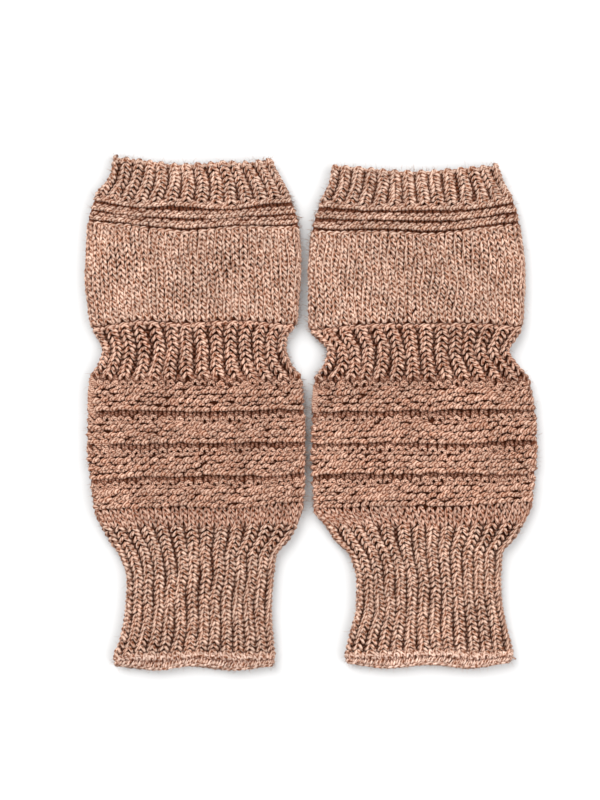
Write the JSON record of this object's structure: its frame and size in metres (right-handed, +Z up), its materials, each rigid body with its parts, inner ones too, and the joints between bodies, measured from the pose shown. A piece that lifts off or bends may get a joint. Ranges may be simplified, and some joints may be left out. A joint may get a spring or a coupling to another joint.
{
  "type": "pair of knitted hand warmers",
  "caption": "Pair of fingerless knitted gloves without thumbs, lying flat side by side: ribbed tubes with garter ridges, a plain band, a ribbed waist, purl welts and a bound-off cuff.",
  "frame": {"origin": "under the middle of the pair, on the surface that it lies on", "axes": "+X to the right across both hand warmers, +Y along them towards the top ribs, +Z up"},
  "size_m": [0.2112, 0.24, 0.0077],
  "materials": {
    "rib_knit": "one-by-one rib in marled dusty rose wool, soft and matt with a slight fuzz",
    "garter_knit": "garter ridges in marled dusty rose wool, dark furrows between the ridges",
    "plain_knit": "plain stocking stitch in marled dusty rose wool, soft and matt with a slight fuzz",
    "welt_knit": "raised purl welts in marled dusty rose wool, uneven by hand",
    "edge_knit": "bound-off chain edge in marled dusty rose wool"
  },
  "bodies": {
    "root": {"left_top_rib_front": "rib_knit", "left_top_rib_back": "rib_knit", "left_garter_ridges_front": "garter_knit", "left_garter_ridges_back": "garter_knit", "left_plain_band_front": "plain_knit", "left_plain_band_back": "plain_knit", "left_waist_rib_front": "rib_knit", "left_waist_rib_back": "rib_knit", "left_welted_band_front": "welt_knit", "left_welted_band_back": "welt_knit", "left_taper_front": "plain_knit", "left_taper_back": "plain_knit", "left_cuff_rib_front": "rib_knit", "left_cuff_rib_back": "rib_knit", "left_bound_edge_front": "edge_knit", "left_bound_edge_back": "edge_knit", "right_top_rib_front": "rib_knit", "right_top_rib_back": "rib_knit", "right_garter_ridges_front": "garter_knit", "right_garter_ridges_back": "garter_knit", "right_plain_band_front": "plain_knit", "right_plain_band_back": "plain_knit", "right_waist_rib_front": "rib_knit", "right_waist_rib_back": "rib_knit", "right_welted_band_front": "welt_knit", "right_welted_band_back": "welt_knit", "right_taper_front": "plain_knit", "right_taper_back": "plain_knit", "right_cuff_rib_front": "rib_knit", "right_cuff_rib_back": "rib_knit", "right_bound_edge_front": "edge_knit", "right_bound_edge_back": "edge_knit"}
  },
  "joints": []
}
